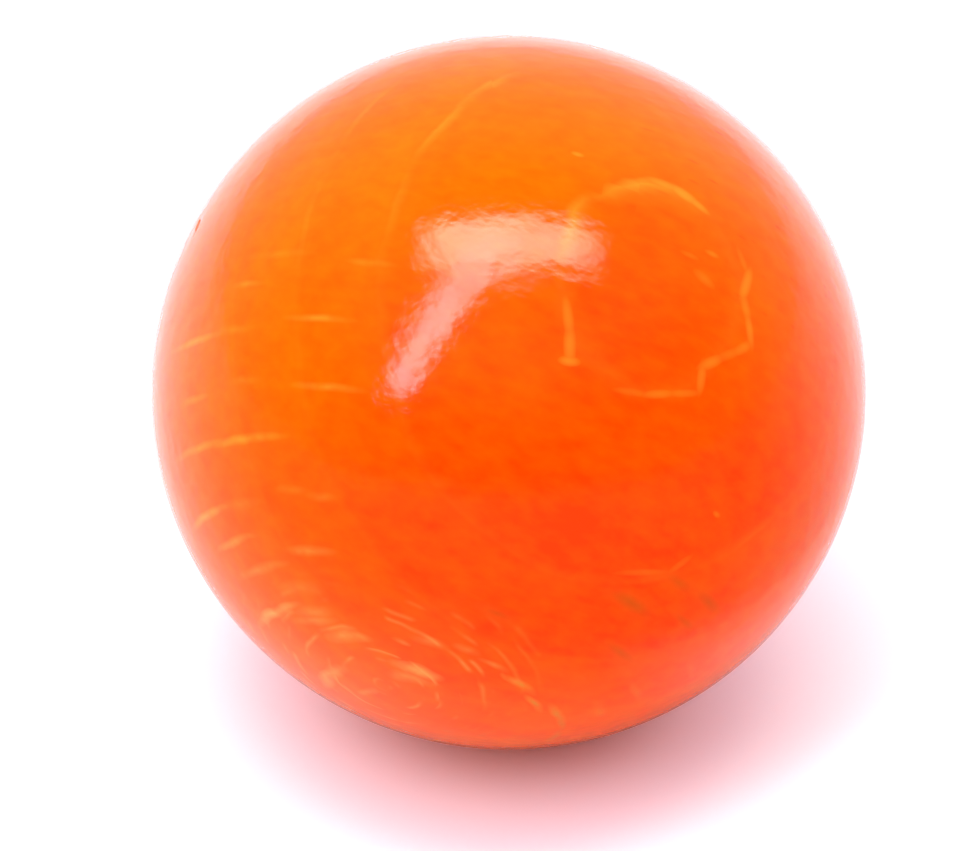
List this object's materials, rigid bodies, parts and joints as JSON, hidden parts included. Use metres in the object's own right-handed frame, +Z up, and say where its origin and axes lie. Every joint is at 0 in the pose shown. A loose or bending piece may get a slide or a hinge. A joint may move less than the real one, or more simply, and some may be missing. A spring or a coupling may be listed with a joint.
{
  "type": "wooden ball",
  "caption": "Small solid turned wooden ball, stained orange under a clear gloss lacquer, used as a knob blank, marker, bead without a bore or rolling piece.",
  "frame": {"origin": "centre of the ball", "axes": "+Z up as the ball lies, -Y towards the viewer, +X to the viewer's right; the grain runs up and back to the left, and the chip in the end grain is on the -X side"},
  "size_m": [0.03, 0.03, 0.03],
  "materials": {
    "lacquered_wood": "stained orange beech under clear gloss lacquer"
  },
  "bodies": {
    "root": {"ball": "lacquered_wood"}
  },
  "joints": []
}
